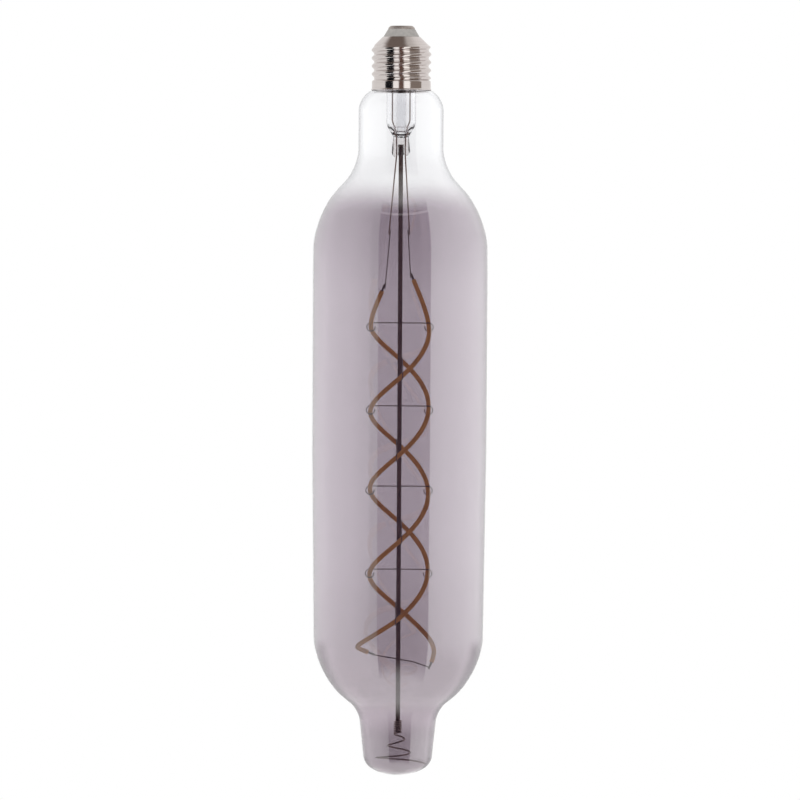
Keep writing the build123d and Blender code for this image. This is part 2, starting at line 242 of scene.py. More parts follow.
def raise_grain(tree, shader, height, strength, distance):
    """Gives a shader a fine relief."""
    bump = tree.nodes.new("ShaderNodeBump")
    bump.inputs["Strength"].default_value = strength
    bump.inputs["Distance"].default_value = distance
    tree.links.new(height, bump.inputs["Height"])
    tree.links.new(bump.outputs["Normal"], shader.inputs["Normal"])


def set_number(material, label, value):
    """Sets a plain number on the shader of a finished material."""
    material.node_tree.nodes["Principled BSDF"].inputs[label].default_value = value


# %% [markdown]
# ## Finishes made of cloud or lines
# A moulding, a cured cement or a soft coating is dull or satin, with a cloud in its colour and its
# roughness. A metal is the same shader with Metallic at one, and lines in place of the cloud.


# %% Helpers for dull finishes and for metals
cloud_strength = 0.3
lines_strength = 0.2


def clouded(name, pale, dark, scale, rough, grain=0.0):
    """A coating or moulding that drifts between two colours and two roughnesses."""
    material, tree, shader = start_material(name)
    cloud = place_group(tree, cloud_group, Scale=scale)
    blend_colours(tree, cloud.outputs["Drift"], pale, dark, shader.inputs["Base Color"])
    blend_values(tree, cloud.outputs["Drift"], rough[0], rough[1], shader.inputs["Roughness"])
    if grain:
        raise_grain(tree, shader, cloud.outputs["Drift"], cloud_strength, grain)
    return material


def lined_metal(name, pale, dark, around, along, rough, depth=0.0):
    """A drawn or rolled metal with fine lines in its colour and its roughness."""
    material, tree, shader = start_material(name)
    shader.inputs["Metallic"].default_value = 1.0
    lines = place_group(tree, lines_group, Around=around, Along=along)
    blend_colours(tree, lines.outputs["Lines"], pale, dark, shader.inputs["Base Color"])
    blend_values(tree, lines.outputs["Lines"], rough[0], rough[1], shader.inputs["Roughness"])
    if depth:
        raise_grain(tree, shader, lines.outputs["Lines"], lines_strength, depth)
    return material


# %% Metals
nickel = lined_metal(
    "nickel_plate", (0.76, 0.73, 0.72), (0.64, 0.605, 0.60),
    around=40, along=2500, rough=(0.09, 0.16), depth=0.005 * MM,
)
contact_metal = lined_metal(
    "contact_metal", (0.54, 0.50, 0.475), (0.48, 0.445, 0.425),
    around=300, along=300, rough=(0.5, 0.6),
)
wire_metal = lined_metal(
    "drawn_wire", (0.20, 0.155, 0.14), (0.12, 0.095, 0.085),
    around=5000, along=150, rough=(0.35, 0.5),
)
lead_metal = lined_metal(
    "lead_wire", (0.46, 0.36, 0.32), (0.33, 0.26, 0.23),
    around=5000, along=150, rough=(0.35, 0.5),
)
spring_metal = lined_metal(
    "spring_wire", (0.46, 0.39, 0.35), (0.28, 0.235, 0.21),
    around=4000, along=300, rough=(0.25, 0.4),
)

# %% Mouldings and coatings
rod_dark = clouded(
    "dark_rod", (0.115, 0.077, 0.064), (0.085, 0.056, 0.047), scale=300, rough=(0.55, 0.7),
)
rod_specular = 0.1
set_number(rod_dark, "Specular IOR Level", rod_specular)
insulator_grey = clouded(
    "insulator_grey", (0.41, 0.39, 0.37), (0.35, 0.335, 0.32),
    scale=700, rough=(0.55, 0.7), grain=0.02 * MM,
)
filament_amber = clouded(
    "filament_amber", (0.70, 0.325, 0.07), (0.58, 0.255, 0.05),
    scale=260, rough=(0.42, 0.55), grain=0.03 * MM,
)
cement = clouded(
    "basing_cement", (0.62, 0.56, 0.45), (0.48, 0.42, 0.33),
    scale=900, rough=(0.8, 0.95), grain=0.08 * MM,
)

# %% Parts of the driver inside the cap
board_green = clouded(
    "driver_board", (0.08, 0.22, 0.12), (0.05, 0.15, 0.08), scale=500, rough=(0.4, 0.6),
)
black_moulding = clouded(
    "black_moulding", (0.035, 0.035, 0.037), (0.02, 0.02, 0.021),
    scale=1200, rough=(0.45, 0.6), grain=0.01 * MM,
)
sleeve_blue = clouded(
    "capacitor_sleeve", (0.05, 0.06, 0.12), (0.03, 0.04, 0.08), scale=600, rough=(0.2, 0.35),
)
resistor_body = clouded(
    "resistor_body", (0.42, 0.50, 0.47), (0.32, 0.40, 0.38), scale=900, rough=(0.35, 0.5),
)
hookup_insulation = clouded(
    "hookup_insulation", (0.74, 0.70, 0.64), (0.62, 0.58, 0.52), scale=900, rough=(0.35, 0.5),
)

# %% [markdown]
# ## Glass
# The envelope is clear glass with a thin smoky coating that is part mirror: it dims what lies behind
# it and throws back the bright sides of the studio. So the finish is a tinted glass with a coat of a
# high index, and the tint and the coat both follow fades of the height. A faint haze starts in the
# neck. The smoke is densest just below its upper edge, deepens again towards the bottom, and is
# thin in the bend above the foot. Where a wall is seen edge on, painted shade darkens the tint. It
# stands in for the darker room that real glass bends into view at its edges; the thicker wall there
# would grey it only a little.


# %% Helpers for glass
glass_index = 1.5


def start_glass(name):
    """A clear glass, ready for a tint."""
    material, tree, shader = start_material(name)
    shader.inputs["IOR"].default_value = glass_index
    shader.inputs["Transmission Weight"].default_value = 1.0
    shader.inputs["Roughness"].default_value = 0.0
    return material, tree, shader


def paint_edge_shade(tree, target, start, power, tint):
    """Paints shade into a colour socket where a wall is seen edge on, and hands on the socket of the
    rest.
    """
    facing = tree.nodes.new("ShaderNodeLayerWeight")
    edge = tree.nodes.new("ShaderNodeMapRange")
    edge.inputs["From Min"].default_value = start
    tree.links.new(facing.outputs["Facing"], edge.inputs["Value"])
    curve = tree.nodes.new("ShaderNodeMath")
    curve.operation = "POWER"
    curve.inputs[1].default_value = power
    tree.links.new(edge.outputs["Result"], curve.inputs[0])
    mix = tree.nodes.new("ShaderNodeMix")
    mix.data_type = "RGBA"
    mix.blend_type = "MULTIPLY"
    mix.inputs["B"].default_value = (*tint, 1)
    tree.links.new(curve.outputs["Value"], mix.inputs["Factor"])
    tree.links.new(mix.outputs["Result"], target)
    return mix.inputs["A"]


def combine_masks(tree, operation, first, second):
    """One mask made of two by a Math node."""
    node = tree.nodes.new("ShaderNodeMath")
    node.operation = operation
    tree.links.new(first, node.inputs[0])
    tree.links.new(second, node.inputs[1])
    return node.outputs["Value"]


# %% Heights and tints of the coating, from the neck down
haze_top = -48.0 * MM
smoke_top = -69.0 * MM
smoke_full = -85.5 * MM
smoke_even = -126.0 * MM
deep_top = -225.0 * MM
deep_full = -300.0 * MM
thin_top = -304.0 * MM
thin_full = -311.0 * MM
foot_top = -313.0 * MM
foot_full = -325.0 * MM
clear_tint = (0.978, 0.980, 0.987)
haze_tint = (0.945, 0.947, 0.955)
dense_tint = (0.585, 0.535, 0.58)
even_tint = (0.66, 0.613, 0.655)
deep_tint = (0.603, 0.556, 0.593)
thin_tint = (0.665, 0.616, 0.654)
foot_tint = (0.545, 0.50, 0.535)
print("coating from", round(smoke_top / MM), "mm down to the foot at", round(foot_full / MM), "mm")

# %% Smoked glass
smoke_mirror = 0.32
mirror_index = 3.0
# A painted edge shade is where its darkening starts, how steeply it grows, and its tint.
clear_edge_shade = (0.40, 2.0, (0.42, 0.42, 0.47))
smoke_edge_shade = (0.75, 1.0, (0.62, 0.61, 0.62))


def make_smoked_glass():
    """Glass whose tint and coat change from the neck to the foot, with painted shade at its edges."""
    material, tree, shader = start_glass("smoked_glass")
    shader.inputs["Coat IOR"].default_value = mirror_index
    shader.inputs["Coat Roughness"].default_value = 0.0

    def fade(top, full):
        return place_group(tree, fade_group, Clear_above=top, Full_below=full).outputs["Mask"]

    smoke = fade(smoke_top, smoke_full)
    footing = fade(foot_top, foot_full)
    bare = combine_masks(tree, "SUBTRACT", fade(thin_top, thin_full), footing)
    coated = combine_masks(tree, "SUBTRACT", smoke, bare)
    blend_values(tree, coated, 0.0, smoke_mirror, shader.inputs["Coat Weight"])
    density = tree.nodes.new("ShaderNodeMix")
    density.data_type = "RGBA"
    tree.links.new(smoke, density.inputs["Factor"])
    tree.links.new(density.outputs["Result"], shader.inputs["Base Color"])
    # Clear and smoked parts both get painted edge shade where a wall is seen edge on.
    clear = paint_edge_shade(tree, density.inputs["A"], *clear_edge_shade)
    blend_colours(tree, fade(haze_top, smoke_top), clear_tint, haze_tint, clear)
    smoked = paint_edge_shade(tree, density.inputs["B"], *smoke_edge_shade)
    above_foot = blend_colours(tree, footing, thin_tint, foot_tint, smoked)
    above_bare = blend_colours(tree, bare, deep_tint, thin_tint, above_foot)
    above_deep = blend_colours(tree, fade(deep_top, deep_full), even_tint, deep_tint, above_bare)
    blend_colours(tree, fade(smoke_full, smoke_even), dense_tint, even_tint, above_deep)
    return material


smoked_glass = make_smoked_glass()
print("coating wired with", len(smoked_glass.node_tree.nodes), "nodes")

# %% [markdown]
# ## Glass of the stem
# The stem and the thin tube in it are clear. Only the end that was pressed flat is a little cloudy
# and lumpy, so a fade of the height brings in a tint, some blur and a relief there. The tube inside
# is hardly seen, so it gets a low index and only a pale painted edge shade.

# %% Stem glass and tube glass
press_top = -49.0 * MM
press_full = -52.0 * MM
press_tint = (0.80, 0.775, 0.77)
press_blur = 0.06
press_lumps = 300
press_relief = 0.4 * MM
# Painted edge shade of the stem and the tube: where it starts, how steeply it grows, and its tint.
stem_edge_shade = (0.55, 2.0, (0.75, 0.75, 0.77))
tube_edge_shade = (0.70, 2.0, (0.88, 0.88, 0.90))
tube_index = 1.15


def make_stem_glass(name, edge):
    """Clear glass with painted shade at its edges, and a cloudy, lumpy end where it was pressed."""
    material, tree, shader = start_glass(name)
    press = place_group(tree, fade_group, Clear_above=press_top, Full_below=press_full)
    pressed = press.outputs["Mask"]
    # Painted edge shade darkens the tint where a wall is seen edge on.
    plain = paint_edge_shade(tree, shader.inputs["Base Color"], *edge)
    blend_colours(tree, pressed, clear_tint, press_tint, plain)
    blend_values(tree, pressed, 0.0, press_blur, shader.inputs["Roughness"])
    cloud = place_group(tree, cloud_group, Scale=press_lumps)
    lumps = combine_masks(tree, "MULTIPLY", cloud.outputs["Drift"], pressed)
    raise_grain(tree, shader, lumps, strength=1.0, distance=press_relief)
    return material


stem_glass = make_stem_glass("stem_glass", stem_edge_shade)
tube_glass = make_stem_glass("tube_glass", tube_edge_shade)
set_number(tube_glass, "IOR", tube_index)

# %% [markdown]
# ## Finishes on the solids that stay
# Most of the solids are kept as they were packed. Each gets the finish of the real piece, and all
# the plain wires share one, so the list names only the others. What is made anew further down
# replaces its solid and brings its own finish.

# %% Dress the kept solids
kept_finishes = {
    "basing_cement": cement,
    "exhaust_tube": tube_glass,
    "lead_wire_left": lead_metal,
    "lead_wire_right": lead_metal,
    "centre_rod": rod_dark,
    "driver_board": board_green,
    "rectifier": black_moulding,
    "driver_chip": black_moulding,
    "capacitor": sleeve_blue,
    "fuse_resistor": resistor_body,
    "contact_lead": hookup_insulation,
    "shell_lead": hookup_insulation,
}
for name, node in nodes.items():
    node.data.materials.clear()
    node.data.materials.append(kept_finishes.get(name, wire_metal))
print("dressed", len(nodes), "solids")

# %% [markdown]
# ## The blown envelope
# The glass was blown in a mould, so every section is a circle and every corner is rounded. A chain
# of edges with a vertex for each corner is the quickest way to draw such an outline: a bevel on each
# vertex rounds it, and a spin turns the chain into the glass. Solidify then gives it an even wall
# inwards.


# %% Helpers that draw a rounded outline and turn it
fewest_segments = 4
degrees_per_segment = 2.5
merge_distance = 0.002


def draw_outline(bm, corners, step, closed=False):
    """A chain of edges through corners in mm, each (radius, height, rounding), cut to steps."""
    chain = [bm.verts.new((r * MM, 0, z * MM)) for r, z, rounding in corners]
    for first, second in zip(chain, chain[1:]):
        bm.edges.new((first, second))
    if closed:
        bm.edges.new((chain[-1], chain[0]))
    rounded = []
    for before, here, after, corner in zip(chain, chain[1:], chain[2:], corners[1:]):
        turn = (here.co - before.co).angle(after.co - here.co)
        if corner[2]:
            rounded.append((here, corner[2] * MM * math.tan(turn / 2), turn))
    for vertex, offset, turn in rounded:
        segments = max(fewest_segments, round(math.degrees(turn) / degrees_per_segment))
        bmesh.ops.bevel(
            bm, geom=[vertex], offset=offset, offset_type="OFFSET", affect="VERTICES",
            segments=segments, profile=0.5, material=-1,
        )
    long_edges = [edge for edge in bm.edges if edge.calc_length() > 2 * step * MM]
    for edge in long_edges:
        bmesh.ops.subdivide_edges(bm, edges=[edge], cuts=int(edge.calc_length() / (step * MM)))


def turn_outline(bm, steps):
    """Spins the chain of edges round the bulb's axis and closes its seam and its pole."""
    bmesh.ops.spin(
        bm, geom=bm.verts[:] + bm.edges[:], cent=(0, 0, 0), axis=(0, 0, 1),
        angle=math.tau, steps=steps, use_merge=True,
    )
    bmesh.ops.remove_doubles(bm, verts=bm.verts[:], dist=merge_distance * MM)
    bmesh.ops.recalc_face_normals(bm, faces=bm.faces[:])


# %% Outline of the glass, from the seal in the cap to the bottom
glass_step = 3.0
glass_turn = 192
glass_wall = 0.6
glass_corners = [
    (11.2, -21.0, 0),
    (11.2, -27.95, 1.75),
    (19.25, -32.3, 10.0),
    (19.25, -63.9, 21.7),
    (39.35, -85.5, 39.3),
    (40.0, -153.4, 3500.0),
    (38.2, -293.0, 35.9),
    (17.8, -309.6, 11.4),
    (15.2, -334.1, 7.0),
    (7.0, -338.74, 16.0),
    (0, -338.74, 0),
]
bm = bmesh.new()
draw_outline(bm, glass_corners, glass_step)
turn_outline(bm, glass_turn)
glass = make_piece(bm, "glass_envelope_blown", "glass_envelope", smoked_glass)
wall = glass.modifiers.new("wall", "SOLIDIFY")
wall.thickness = glass_wall * MM
wall.offset = -1
wall.use_even_offset = True

# %% [markdown]
# ## The pressed stem
# The stem is a glass tube, flared at the top where it is fused to the neck. Its lower end was heated
# and squeezed flat round the two leads and the rod. So it starts as a turned shape: the outside from
# the pinch up to the flare, then the bore down to its floor. The vertices of the lower end are then
# flattened, grooved between the wires and drawn down into three lobes, a little askew as pressed
# glass is.

# %% Turn the stem
stem_step = 0.5
stem_turn = 96
stem_corners = [
    (0, -58.4, 0),
    (4.3, -58.4, 1.6),
    (3.5, -50.0, 2.5),
    (6.65, -45.0, 5.0),
    (6.65, -24.2, 2.0),
    (9.25, -21.0, 0.8),
    (11.2, -21.0, 0),
    (11.2, -20.0, 0),
    (8.8, -20.0, 0.8),
    (5.65, -23.8, 1.5),
    (5.65, -44.8, 2.5),
    (3.0, -47.4, 1.5),
    (0, -47.4, 0),
]
bm = bmesh.new()
draw_outline(bm, stem_corners, stem_step)
turn_outline(bm, stem_turn)
print("stem turned,", len(bm.verts), "vertices")

# %% Squeeze its lower end
squeezed = (-46.0, -51.5)
press_flat = 0.42
groove_depth = 0.3
lobe_w = 2.87
lobe_span = (-54.5, -58.4)
lobe_drop = 0.7
lobe_skew = 0.12


def smooth_between(value, low, high):
    """Rises smoothly from nought at low to one at high."""
    share = min(max((value - low) / (high - low), 0.0), 1.0)
    return share * share * (3 - 2 * share)


for vertex in bm.verts:
    height = vertex.co.z / MM
    reach = vertex.co.x / MM
    lobe = 0.5 + 0.5 * math.cos(math.tau * reach / lobe_w)
    flat = press_flat * (1 - groove_depth * (1 - lobe))
    vertex.co.y *= 1 - (1 - flat) * smooth_between(height, *squeezed)
    drop = lobe_drop * lobe - lobe_skew * reach
    vertex.co.z -= drop * MM * smooth_between(height, *lobe_span)
make_piece(bm, "stem_flare_pressed", "stem_flare", stem_glass)

# %% [markdown]
# ## The rolled screw shell
# The shell is one thin sheet, drawn into a cup and then rolled so that the thread shows on both
# sides. A spun outline gives the cup. The thread is a wave that climbs as it goes round, so the
# vertices of the straight wall are pushed out by that wave, fading at both ends as a rolled thread
# does.

# %% Cup of the screw shell
shell_step = 0.2
shell_turn = 144
sheet = 0.3
shell_corners = [
    (7.25, -5.2, 0),
    (8.3, -5.2, 0.5),
    (12.15, -9.0, 1.5),
    (12.0, -24.6, 0.5),
    (13.0, -25.1, 0.5),
    (13.0, -28.5, 0.6),
    (13.5, -29.1, 0),
]
bm = bmesh.new()
draw_outline(bm, shell_corners, shell_step)
turn_outline(bm, shell_turn)
print("cup turned,", len(bm.verts), "vertices")

# %% Thread of the screw shell
thread_depth = 1.1
thread_pitch = 3.629
thread_start = -23.7
thread_foot = (-24.6, -23.6)
thread_top = (-8.6, -10.0)
crest_sharpness = 1.5
for vertex in bm.verts:
    height = vertex.co.z / MM
    turns = math.atan2(vertex.co.y, vertex.co.x) / math.tau
    wave = 0.5 + 0.5 * math.cos(math.tau * ((height - thread_start) / thread_pitch - turns))
    fade = smooth_between(height, *thread_foot) * smooth_between(height, *thread_top)
    outward = Vector((vertex.co.x, vertex.co.y, 0)).normalized()
    vertex.co += outward * thread_depth * MM * wave**crest_sharpness * fade
shell = make_piece(bm, "screw_shell_rolled", "screw_shell", nickel)
sheet_wall = shell.modifiers.new("sheet", "SOLIDIFY")
sheet_wall.thickness = sheet * MM
sheet_wall.offset = -1

# %% [markdown]
# ## Insulator and contact
# The insulator is a moulded cone with soft edges, held by its spigot and a flange under the sheet.
# The contact is a pressed disc with a hollow rivet through the middle. Both are turned shapes, so
# the same two helpers make them, and only the corners that show are rounded.

# %% Insulator cone
cone_step = 1.0
cone_turn = 96
insulator_corners = [
    (2.45, -1.5, 0),
    (6.1, -1.5, 0.3),
    (8.3, -5.2, 0.3),
    (7.2, -5.2, 0),
    (7.2, -5.55, 0),
    (7.8, -5.55, 0),
    (7.8, -6.55, 0),
    (2.45, -6.55, 0),
]
bm = bmesh.new()
draw_outline(bm, insulator_corners, cone_step, closed=True)
turn_outline(bm, cone_turn)
make_piece(bm, "insulator_moulded", "insulator", insulator_grey)

# %% Contact disc and rivet
contact_corners = [
    (0, 0, 0),
    (5.0, 0, 0.8),
    (6.0, -1.0, 0.5),
    (6.0, -1.5, 0),
    (2.4, -1.5, 0),
    (2.4, -7.1, 0),
    (0.8, -7.1, 0),
    (0.8, -4.1, 0),
    (0, -4.1, 0),
]
bm = bmesh.new()
draw_outline(bm, contact_corners, cone_step)
turn_outline(bm, cone_turn)
make_piece(bm, "end_contact_pressed", "end_contact", contact_metal)

# %% [markdown]
# ## Round wires
# A filament strand and a spring are both a circle pushed along a line in space. One extrusion for
# each step of the line, turned to follow it, gives an even round section without a twist.


# %% Helper that draws a round wire
def draw_wire(points, wire_d, sides):
    """A round wire of that diameter in mm through the points, closed at both ends."""
    bm = bmesh.new()
    ahead = (points[1] - points[0]).normalized()
    turn = ahead.to_track_quat("Z", "Y").to_matrix().to_4x4()
    start = Matrix.Translation(points[0]) @ turn
    ring = bmesh.ops.create_circle(
        bm, cap_ends=True, radius=wire_d / 2 * MM, segments=sides, matrix=start,
    )["verts"]
    edges = [edge for edge in bm.edges if all(vertex in ring for vertex in edge.verts)]
    for index in range(1, len(points)):
        pushed = bmesh.ops.extrude_edge_only(bm, edges=edges)["geom"]
        ring = [item for item in pushed if isinstance(item, bmesh.types.BMVert)]
        edges = [edge for edge in pushed if isinstance(edge, bmesh.types.BMEdge)]
        after = points[min(index + 1, len(points) - 1)]
        heading = (after - points[index - 1]).normalized()
        bend = ahead.rotation_difference(heading).to_matrix()
        bmesh.ops.rotate(bm, verts=ring, cent=points[index - 1], matrix=bend)
        bmesh.ops.translate(bm, verts=ring, vec=points[index] - points[index - 1])
        ahead = heading
    bmesh.ops.contextual_create(bm, geom=edges)
    bmesh.ops.recalc_face_normals(bm, faces=bm.faces[:])
    return bm


# %% [markdown]
# ## The filament strands
# Two soft strands wind round the rod as a double helix, a quarter turn from one support wire to the
# next. They sag a little at the front and steepen above the first support. Below the last support
# each strand swings out and ends at its terminal, through listed points. One smooth
# line through all these points keeps the soft strand free of kinks.

# %% Line of a strand
helix_r = 13.2
helix_pitch = 73.9
top_pitch = 119.0
top_lift = 57.0
front_sag = 3.0
first_support = -136.5
bar_swing = 5.52


def strand_point(start, lift):
    """A point of the helix, lift degrees round from the first support, positive upwards."""
    angle = math.radians(start + lift)
    steepening = (top_pitch - helix_pitch) * max(lift, 0) / top_lift
    height = first_support + (helix_pitch + steepening) * lift / 360 + front_sag * math.sin(angle)
    return Vector((helix_r * math.cos(angle), helix_r * math.sin(angle), height)) * MM


def smooth_line(points, cuts):
    """A line that passes smoothly through the points, with cuts steps between each two."""
    padded = [points[0] * 2 - points[1]] + points + [points[-1] * 2 - points[-2]]
    line = []
    for before, first, second, after in zip(padded, padded[1:], padded[2:], padded[3:]):
        for step in range(cuts):
            t = step / cuts
            leaving = (second - before) / 2 * (t - 2 * t**2 + t**3)
            arriving = (after - first) / 2 * (t**3 - t**2)
            between = first * (1 - 3 * t**2 + 2 * t**3) + second * (3 * t**2 - 2 * t**3)
            line.append(between + leaving + arriving)
    return line + [points[-1]]


# %% Lifts of the helix, and the free ends: degrees past it, mm outwards and mm down
support_count = 8
support_turn = 90.0
lift_step = 22.5
last_lift = -(support_count - 1) * support_turn
lift_count = round(-last_lift / lift_step)
lifts = [top_lift, top_lift / 2] + [-lift_step * step for step in range(lift_count + 1)]
free_ends = {
    "a": [(43, 1.2, 6.4), (67, 4.5, 10.4), (81, 5.2, 12.3), (92, 3.6, 13.6), (98, 0.9, 14.8)],
    "b": [(42, 0.8, 8.6), (69, 2.4, 14.5), (89, 3.0, 19.0), (102, 2.7, 22.6), (106, 2.1, 24.8)],
}
strand_starts = {"a": 180.0 - bar_swing, "b": 360.0 + bar_swing}
print("each strand passes", len(lifts), "points of the helix")

# %% Draw the strands
strand_d = 2.1
strand_sides = 16
strand_cuts = 6
for strand, start in strand_starts.items():
    points = [strand_point(start, lift) for lift in lifts]
    helix_end = points[-1].z / MM
    for past, spread, drop in free_ends[strand]:
        angle = math.radians(start + last_lift - past)
        reach = helix_r + spread
        place = (reach * math.cos(angle), reach * math.sin(angle), helix_end - drop)
        points.append(Vector(place) * MM)
    bm = draw_wire(smooth_line(points, strand_cuts), strand_d, strand_sides)
    replaced = f"filament_{strand}"
    make_piece(bm, f"filament_{strand}_strand", replaced, filament_amber)

# %% [markdown]
# ## The tail spring
# A close coil grips the end of the rod and then opens into a cone whose last turn stands on the
# rounded corner inside the foot, so that the long rod can't swing. Its line is one helix with a
# small even climb, followed by one whose radius and height are set at each half turn.

# %% Line of the spring
coil_r = 1.45
coil_top = -314.35
coil_end = -319.95
coil_turns = 5.5
cone_bends = [(3.0, -322.5), (4.4, -325.6), (5.6, -328.6), (9.6, -331.2), (12.6, -334.2)]
steps_per_turn = 32
spring_line = []
coil_steps = int(coil_turns * steps_per_turn)
for step in range(coil_steps):
    share = step / coil_steps
    angle = math.tau * coil_turns * share
    height = coil_top + (coil_end - coil_top) * share
    spring_line.append(Vector((coil_r * math.cos(angle), -coil_r * math.sin(angle), height)) * MM)
sizes = [Vector((radius, 0, height)) for radius, height in [(coil_r, coil_end)] + cone_bends]
for step, size in enumerate(smooth_line(sizes, steps_per_turn // 2)):
    angle = math.tau * (coil_turns + step / steps_per_turn)
    spring_line.append(Vector((size.x * math.cos(angle), -size.x * math.sin(angle), size.z)) * MM)
print("spring of", len(spring_line), "points")

# %% Draw the spring
spring_d = 0.8
spring_sides = 10
bm = draw_wire(spring_line, spring_d, spring_sides)
make_piece(bm, "tail_spring_wire", "tail_spring", spring_metal)

# %% [markdown]
# ## Floor
# The bulb hangs, so the floor lies well below it and shows only from above. It is a plain pale disc,
# marked as stage because it isn't part of the bulb. Shine and glass leave it out, or its rim would
# draw a line across them.

# %% Floor
floor_r = 450.0
floor_gap = 60.0
floor_sides = 96
studio_white = clouded("studio_white", (0.95, 0.95, 0.95), (0.93, 0.93, 0.93), 3.0, (0.8, 0.9))
bm = bmesh.new()
floor_place = Matrix.Translation((0, 0, cad_low.z - floor_gap * MM))
bmesh.ops.create_circle(
    bm, cap_ends=True, radius=floor_r * MM, segments=floor_sides, matrix=floor_place,
)
floor = make_object(bm, "studio_floor", studio_white)
floor.visible_glossy = False
floor.visible_transmission = False
floor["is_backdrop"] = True

# %% [markdown]
# ## A white room
# The room lights the bulb evenly, so the world is plain white to the camera, to dull surfaces and to
# all that is seen through the glass. Shine is another matter: in an even white room, glass and
# polished metal look empty, so a photographer stands cards and dark flats round them. The world can
# hold those itself, as colours that depend on the direction in which a ray leaves.

# %% Helpers that wire the world
white = (1.0, 1.0, 1.0)
world = bpy.data.worlds.new("studio")
bpy.context.scene.world = world
world.use_nodes = True
tree = world.node_tree
backdrop = tree.nodes["Background"]


def world_math(operation, first, second=None):
    """A Math node of the world, on sockets or plain values."""
    node = tree.nodes.new("ShaderNodeMath")
    node.operation = operation
    for socket, value in zip(node.inputs, (first, second)):
        if hasattr(value, "is_output"):
            tree.links.new(value, socket)
        elif value is not None:
            socket.default_value = value
    return node.outputs["Value"]


def world_step(value, low, high):
    """Rises smoothly from nought at low to one at high."""
    node = tree.nodes.new("ShaderNodeMapRange")
    node.interpolation_type = "SMOOTHSTEP"
    node.inputs["From Min"].default_value = low
    node.inputs["From Max"].default_value = high
    tree.links.new(value, node.inputs["Value"])
    return node.outputs["Result"]


def world_mix(factor, first, second):
    """A colour between two, each a socket or a plain colour."""
    node = tree.nodes.new("ShaderNodeMix")
    node.data_type = "RGBA"
    tree.links.new(factor, node.inputs["Factor"])
    for socket, value in ((node.inputs["A"], first), (node.inputs["B"], second)):
        if hasattr(value, "is_output"):
            tree.links.new(value, socket)
        else:
            socket.default_value = (*value, 1)
    return node.outputs["Result"]


def world_ramp(value, stretches, change):
    """A colour for each stretch of a value, given as its start and its colour or grey level."""
    begin = stretches[0][0]
    end = stretches[-1][0]
    share = tree.nodes.new("ShaderNodeMapRange")
    share.inputs["From Min"].default_value = begin
    share.inputs["From Max"].default_value = end
    tree.links.new(value, share.inputs["Value"])
    ramp = tree.nodes.new("ShaderNodeValToRGB")
    ramp.color_ramp.interpolation = change
    stops = ramp.color_ramp.elements
    stops.remove(stops[1])
    for index, (start, shade) in enumerate(stretches):
        stop = stops.new((start - begin) / (end - begin)) if index else stops[0]
        stop.color = (*shade, 1) if isinstance(shade, tuple) else (shade, shade, shade, 1)
    tree.links.new(share.outputs["Result"], ramp.inputs["Fac"])
    return ramp.outputs["Color"]


# %% Direction of a ray, in degrees: its climb, and its bearing from the front round to the right
place = tree.nodes.new("ShaderNodeTexCoord")
away = tree.nodes.new("ShaderNodeSeparateXYZ")
tree.links.new(place.outputs["Generated"], away.inputs["Vector"])
to_right = away.outputs["X"]
to_back = away.outputs["Y"]
climb = world_math("DEGREES", world_math("ARCSINE", away.outputs["Z"]))
to_front = world_math("MULTIPLY", to_back, -1.0)
bearing = world_math("DEGREES", world_math("ARCTAN2", to_right, to_front))
print("direction of a ray from", len(tree.nodes), "nodes")

# %% [markdown]
# ## What the glass mirrors
# A ray that meets a wall head on comes straight back, and one that grazes it goes on to the back. So
# the bearing halfway between the ray and the camera's side says which upright line of the glass it
# left. Twice that bearing gives every level below its upright edge, on the straight body and on its
# round shoulder. The side of the camera is dark and makes the tall band, the sides are bright, and
# low down behind the bulb the room is dimmer.

# %% Sides of the room
side_levels = [
    (-180, 1.00), (-172, 1.00), (-160, 0.80), (-146, 0.98), (-120, 1.17), (-94, 1.03), (-68, 0.88),
    (-46, 0.62), (-29, 0.50), (41, 0.92), (62, 1.18), (87, 1.38), (111, 1.46), (132, 1.34),
    (146, 1.00), (160, 0.80), (172, 1.00), (180, 1.00),
]
under = (-4, -40)
under_level = (0.95, 0.93, 0.93)
above = (40, 70)
above_level = (0.85, 0.85, 0.85)
rear = (105, 135)
low_top = (-2, -13)
low_foot = (-60, -45)
low_level = (0.6, 0.6, 0.6)
halfway = world_math("ARCTAN2", to_right, world_math("ADD", 1.0, to_front))
wall_bearing = world_math("DEGREES", world_math("MULTIPLY", halfway, 2.0))
room = world_ramp(wall_bearing, side_levels, "LINEAR")
room = world_mix(world_step(climb, *under), room, under_level)
room = world_mix(world_step(climb, *above), room, above_level)
behind = world_step(world_math("ABSOLUTE", wall_bearing), *rear)
low = world_math("MULTIPLY", world_step(climb, *low_top), world_step(climb, *low_foot))
room = world_mix(world_math("MULTIPLY", behind, low), room, low_level)
print("levels round the room", len(side_levels))

# %% Dark side, where the camera stands
dark_left = (-30, -28)
dark_right = (42, 40)
dark_top = (67, 47)
dark_foot = (-68, -35)
dark_front = (0.75, 0.4)
dark_colour = (0.11, 0.07, 0.105)
seam_climb = 47.0
seam_width = 1.2
seam_colour = (0.60, 0.55, 0.58)
straight_behind = (0.96, 0.99)
from_left = world_step(wall_bearing, *dark_left)
from_right = world_step(wall_bearing, *dark_right)
across = world_math("MULTIPLY", from_left, from_right)
upright = world_math("MULTIPLY", world_step(climb, *dark_top), world_step(climb, *dark_foot))
before = world_step(to_back, *dark_front)
dark_side = world_math("MULTIPLY", world_math("MULTIPLY", across, upright), before)
seam = world_math("COMPARE", climb, seam_climb)
seam.node.inputs[2].default_value = seam_width
mirrored = world_mix(dark_side, room, world_mix(seam, dark_colour, seam_colour))
mirrored = world_mix(world_step(to_back, *straight_behind), mirrored, white)
print("dark side from", dark_left[0], "to", dark_right[0], "degrees")

